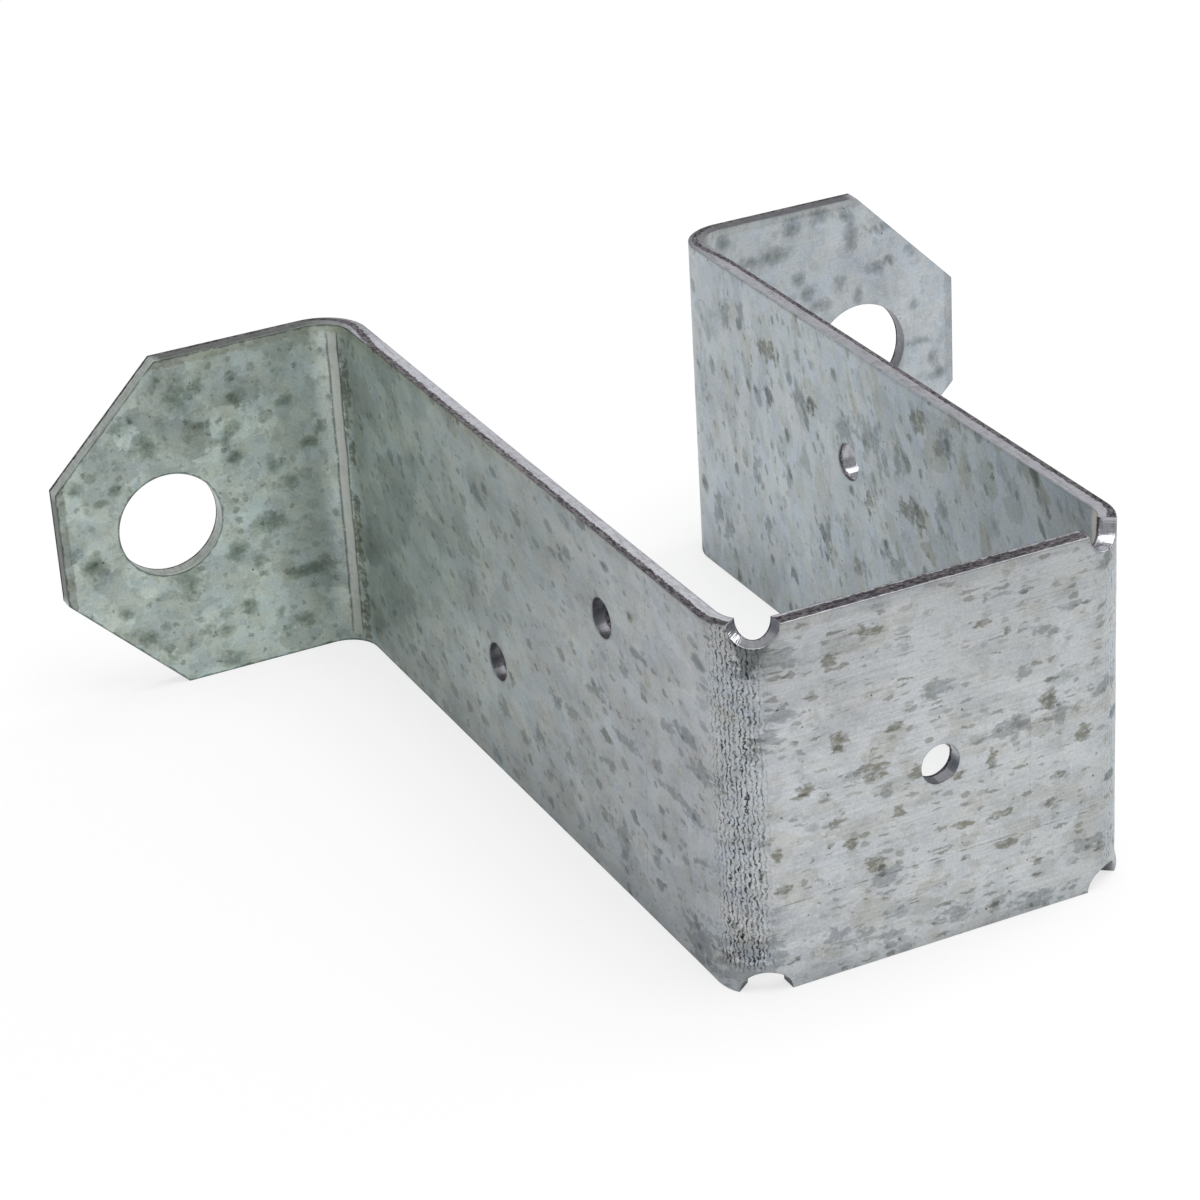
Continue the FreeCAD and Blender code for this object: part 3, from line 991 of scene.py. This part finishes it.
def with_wear(paint, zinc, here):
    """Crazed zinc on the front folds, with painted light and painted shade on its ridges and in its cracks,
    and what was rubbed flat: the pressed lines and the squeezed strips beside the notches."""
    zinc = paint.tinted(
        zinc,
        # Painted light, painted shade and the cracks' partly painted shade of the crazed folds
        (here.light, (1.20, 1.19, 1.17)),
        (here.dark, (0.42, 0.43, 0.43)),
        (here.crack, (0.13, 0.14, 0.14)),
    )
    worn = paint.step(here.streaks, 0.35, 0.62, 0.85, 0.45)
    zinc = paint.blend(paint.times(here.groove, worn), zinc, (0.52, 0.525, 0.49, 1))
    zinc = paint.tinted(zinc, (paint.times(here.lip, paint.step(here.fray, 0.30, 0.52)), (0.42, 0.44, 0.43)))
    return paint.blend(paint.times(here.rubbed, worn), zinc, (0.74, 0.69, 0.59, 1))


def with_border(paint, zinc, here):
    """Stained border along the edges, pale on the legs, with a crisp dark rim, strongest on the left flange:
    painted shade that hides the rolled edges' highlight.
    """
    inner = paint.line(paint.less(here.fray, 0.5), 0.8, here.border)
    bordered = paint.times(paint.step(inner, 1.02, 0.90), here.border_strength)
    # Painted shade along the cuts, which hides the rolled edge's highlight
    rim = paint.step(paint.line(here.fray, 0.5, here.room), 0.52, 0.34)
    rim_share = paint.math("MAXIMUM", here.green, paint.step(here.across, -web_end, -leg_start, 0.0, 0.4))
    return paint.tinted(
        zinc,
        (paint.times(bordered, paint.less(1.0, here.pale)), (0.68, 0.665, 0.645)),
        (paint.times(bordered, here.pale), (1.04, 0.98, 0.84)),
        (paint.times(rim, rim_share), (0.42, 0.44, 0.44)),
    )


def wall_look(paint, here):
    """Colour of the cuts' walls and how torn they are: smooth where sheared, dark and rough where torn."""
    strip = here.strip_field
    ragged = paint.noise(paint.scaled(strip, (1, 1, 1.9)), 1.5, 4.0, 0.7, dimensions="3D")
    depth = paint.line(paint.less(ragged, 0.5), 0.40, here.through)
    after = paint.step(paint.less(depth, here.torn_from), -0.05, 0.05)
    left = paint.less(here.torn_to, depth)
    torn = paint.times(after, paint.step(left, -0.05, 0.05))

    # Torn: dark with paler smears, and darkest along the line where the tearing began
    fine = paint.noise(paint.scaled(strip, (1, 1, 3.2)), 1.9, 4.0, 0.7, dimensions="3D")
    pits = paint.blend(here.pale, (0.034, 0.031, 0.037, 1), (0.060, 0.054, 0.064, 1))
    lumps = paint.blend(here.pale, (0.13, 0.12, 0.132, 1), (0.20, 0.185, 0.20, 1))
    rough = paint.blend(paint.step(fine, 0.38, 0.54), pits, lumps)
    rough = paint.blend(paint.step(fine, 0.56, 0.64, 0.0, 0.55), rough, (0.34, 0.32, 0.31, 1))
    rough = paint.tinted(rough, (paint.step(left, 0.10, 0.02, 0.0, 0.75), (0.30, 0.29, 0.31)))

    # Sheared: drawn streaks through the sheet, grime dragged along it and a dark line at the web's inside
    drawn = paint.stretched(strip, (3.5, 3.5, 0.5), (0, 0, 0), 2.0, 0.6, "3D")
    dragged = paint.stretched(strip, (0.7, 0.7, 5), (0, 0, 0), 3.0, 0.65, "3D")
    smooth = paint.dimmed((0.50, 0.505, 0.545), paint.line(drawn, 0.6, 0.70))
    inner_line = paint.times(paint.step(here.through, 0.88, 0.97), paint.line(here.pale, -0.8, 0.8))
    # Dimmed or lightened by the wall's painted light: shade on the flanges and left nail holes, sheen on the
    # left leg
    smooth = paint.tinted(
        paint.dimmed(smooth, here.bright),
        (paint.step(here.green, 0.90, 1.0), (0.96, 1.03, 0.90)),
        (paint.step(dragged, 0.50, 0.62, 0.0, 0.8), (0.72, 0.71, 0.70)),
        (inner_line, (0.42, 0.42, 0.43)),
    )
    return paint.blend(torn, smooth, rough), torn, fine


def galvanised():
    """Hot-dip zinc on steel sheet, weathered, with bare sheared edges."""
    paint = Paint("galvanised")
    here = surface(paint)
    here = SimpleNamespace(**vars(here), **zinc_marks(paint, here), **crazing(paint, here))
    zinc = bare_zinc(paint, here)
    for layer in (with_marks, with_stains, with_lines, with_wear, with_border):
        zinc = layer(paint, zinc, here)
    zinc = paint.dimmed(zinc, here.tone)
    wall, torn, fine = wall_look(paint, here)
    on_face = paint.math("GREATER_THAN", here.room, 0.015)

    dull = paint.line(here.drops, 0.12, paint.line(here.crystals, 0.10, 0.40))
    wall_dull = paint.line(torn, 0.35, paint.step(here.polish, 0.0, 1.0, 0.50, 0.16))
    rough = paint.node("ShaderNodeMix", {0: on_face, 2: wall_dull, 3: dull}, data_type="FLOAT").outputs[0]

    height = paint.line(here.grit, 0.012, paint.times(here.lines, 0.010))
    height = paint.line(paint.times(here.ridges, here.cracked), 0.03, height)
    height = paint.line(paint.times(fine, torn, paint.less(1.0, on_face)), 0.08, height)
    bump = paint.node("ShaderNodeBump", {"Height": height, "Distance": METRE, "Strength": 1.0})

    inputs = {
        "Base Color": paint.blend(on_face, wall, zinc), "Metallic": 0.85, "Roughness": rough,
        "Normal": bump.outputs[0],
    }
    for name, value in inputs.items():
        paint.give(paint.shader.inputs[name], value)
    return paint.material


# Studio

def pale_floor():
    """A wide plain floor, which a camera ray sees as nearly white but for the tie's soft shadow."""
    size = 3.0
    mesh = bpy.data.meshes.new("floor")
    corners = [(-size, -size, 0), (size, -size, 0), (size, size, 0), (-size, size, 0)]
    mesh.from_pydata(corners, [], [(0, 1, 2, 3)])
    paint = Paint("pale_floor")
    paint.tree.nodes.remove(paint.shader)
    cloth = paint.node("ShaderNodeBsdfDiffuse", {"Color": (0.9, 0.9, 0.9, 1)}).outputs[0]
    glow = paint.node("ShaderNodeEmission", {}).outputs[0]
    share = paint.times(paint.node("ShaderNodeLightPath", {}).outputs["Is Camera Ray"], 0.7)
    mix = paint.node("ShaderNodeMixShader", {0: share, 1: cloth, 2: glow}).outputs[0]
    paint.give(paint.tree.nodes["Material Output"].inputs["Surface"], mix)
    mesh.materials.append(paint.material)
    placed("floor", mesh)


def white_world():
    """Soft white light from all round, at a strength of 0.55."""
    world = bpy.data.worlds.new("studio")
    bpy.context.scene.world = world
    world.use_nodes = True
    background = world.node_tree.nodes["Background"].inputs
    background["Color"].default_value = (1, 1, 1, 1)
    background["Strength"].default_value = 0.55


def soft_lamp(name, place, target, size, power):
    """A large square lamp that faces its target."""
    light = bpy.data.lights.new(name, "AREA")
    light.shape = "SQUARE"
    light.size = size
    light.energy = power
    lamp = placed(name, light)
    lamp.location = place
    lamp.rotation_euler = (Vector(target) - Vector(place)).to_track_quat("-Z", "Y").to_euler()


camera_turns = (-24.873, 26.515, -3.479)  # azimuth, elevation and roll in degrees
camera_place = (-0.154692, -0.306338, 0.188724)
camera_lens = 112.0076


def photo_camera():
    """The camera of the photograph: its place, its three turns and its lens."""
    azimuth, elevation, roll = (math.radians(turn) for turn in camera_turns)
    lens = bpy.data.cameras.new("camera")
    lens.sensor_width = 36.0
    lens.lens = camera_lens
    lens.clip_start = 0.01
    lens.clip_end = 20.0
    camera = placed("camera", lens)
    turned = Matrix.Rotation(azimuth, 4, "Z") @ Matrix.Rotation(math.pi / 2 - elevation, 4, "X")
    camera.matrix_world = Matrix.Translation(camera_place) @ turned @ Matrix.Rotation(roll, 4, "Z")
    bpy.context.scene.camera = camera


tie = post_tie()
tie.data.materials.append(galvanised())
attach(tie, "root")
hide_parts("post_tie")

pale_floor()
white_world()
soft_lamp("top_lamp", (0.1, -0.1, 0.9), (0, 0, 0), 0.8, 6)
soft_lamp("side_lamp", (0.62, 0.08, 0.30), (0, 0, 0.02), 0.22, 1.2)
photo_camera()

bpy.context.scene.view_settings.view_transform = "Standard"
